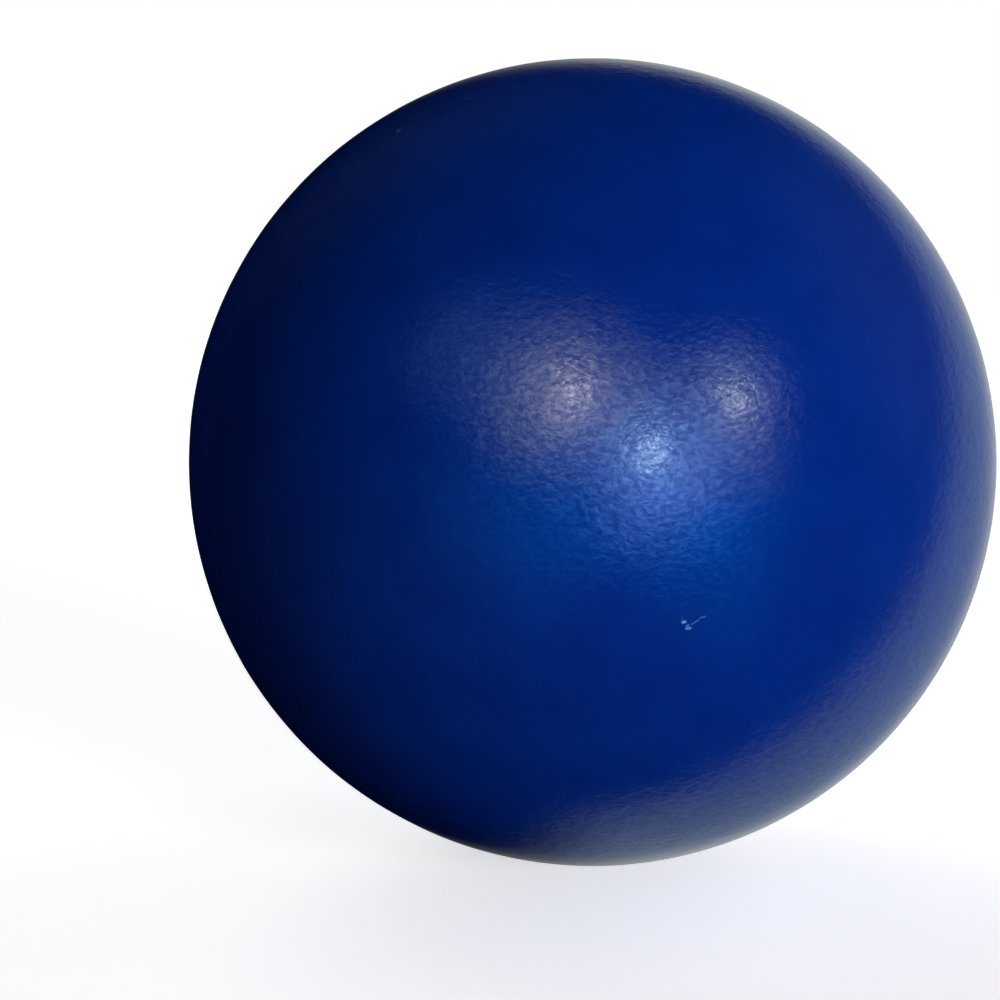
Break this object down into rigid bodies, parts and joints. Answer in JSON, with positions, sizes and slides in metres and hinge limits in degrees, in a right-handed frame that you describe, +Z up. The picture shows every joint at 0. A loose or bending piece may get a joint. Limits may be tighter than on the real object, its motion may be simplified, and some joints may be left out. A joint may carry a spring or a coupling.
{
  "type": "bouncy ball",
  "caption": "Round hollow rubber ball for bouncing, throwing and catching, with a satin blue skin over cemented half shells and a sealed inner plug.",
  "frame": {"origin": "centre of the ball, where the moulding axis crosses the plane of the joint", "axes": "+Z up as in the picture, from the thumb to the index finger; +Y along the moulding axis, away from the picture's camera, through the plug in the rear half; +X to the picture's right"},
  "size_m": [0.0635, 0.0634, 0.0636],
  "materials": {
    "blue_skin": "satin",
    "shell_rubber": "matte",
    "rubber_cement": "satin",
    "plug_gum": "satin",
    "patch_rubber": "matte"
  },
  "bodies": {
    "root": {"outer_skin": "blue_skin", "front_half_shell": "shell_rubber", "rear_half_shell": "shell_rubber", "seam_cement": "rubber_cement", "valve_plug": "plug_gum", "plug_patch": "patch_rubber", "needle_hole_seal": "rubber_cement"}
  },
  "joints": []
}
